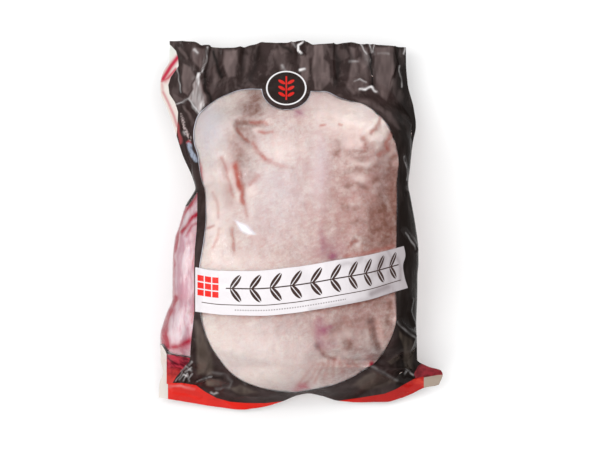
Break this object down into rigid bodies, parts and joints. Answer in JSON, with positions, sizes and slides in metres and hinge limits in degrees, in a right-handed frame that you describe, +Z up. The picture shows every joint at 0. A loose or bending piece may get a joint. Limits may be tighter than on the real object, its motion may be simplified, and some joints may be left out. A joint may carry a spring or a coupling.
{
  "type": "packed whole raw duck",
  "caption": "Whole raw duck, breast up, shut in a glossy clear bag with a dark printed frame, a gathered header flap and a scalloped seal flap; lies on its back.",
  "frame": {"origin": "middle of the pack's box, on the surface it lies on", "axes": "+Z up out of the breast, +Y along the pack from the seal flap at the neck end to the header flap at the leg end, +X to the right as seen from above"},
  "size_m": [0.285, 0.3739, 0.108],
  "materials": {
    "duck_skin": "moist pale pink raw skin with rows of fine feather pits, mottled and bruised in places",
    "printed_film": "glossy creased film printed brown-black, with white, red and cream fields",
    "clear_film": "clear glossy film that clings to the skin"
  },
  "bodies": {
    "root": {"duck_pack": "duck_skin"}
  },
  "joints": []
}
